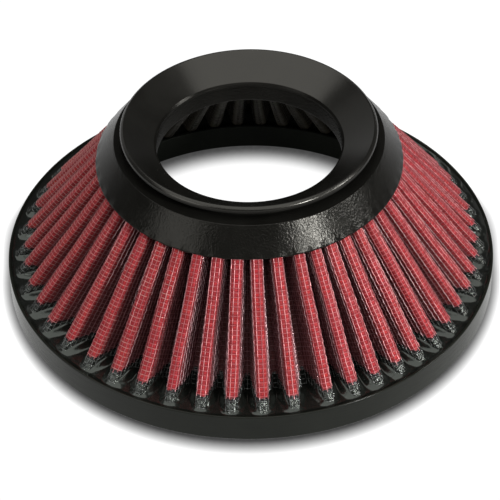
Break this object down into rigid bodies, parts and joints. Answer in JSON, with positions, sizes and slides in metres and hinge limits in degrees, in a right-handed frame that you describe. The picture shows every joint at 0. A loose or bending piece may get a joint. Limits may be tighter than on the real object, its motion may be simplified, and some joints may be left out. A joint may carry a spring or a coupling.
{
  "type": "air filter element",
  "caption": "Low tapered pleated air filter element with a wide sealing ring, red oiled gauze under wire screen, and a moulded cap with an open funnel mouth.",
  "frame": {"origin": "centre of the bottom sealing face", "axes": "+Z along the element's axis, from the sealing ring to the mouth; the front, where the seam is hidden inside, faces -Y"},
  "size_m": [0.165, 0.165, 0.0618],
  "materials": {
    "ring_rubber": "matte moulded, slightly green black",
    "potting": "glossy poured compound with menisci",
    "cap_rubber": "satin moulded, shinier on the lip",
    "screen_wire": "coated fine woven wire",
    "red_gauze": "oiled cotton gauze",
    "clip_metal": "folded strip"
  },
  "bodies": {
    "root": {"base_ring": "ring_rubber", "base_potting": "potting", "top_cap": "cap_rubber", "top_potting": "potting", "outer_wire_screen": "screen_wire", "gauze_ply_1": "red_gauze", "gauze_ply_2": "red_gauze", "gauze_ply_3": "red_gauze", "gauze_ply_4": "red_gauze", "inner_wire_screen": "screen_wire", "seam_clip": "clip_metal"}
  },
  "joints": []
}
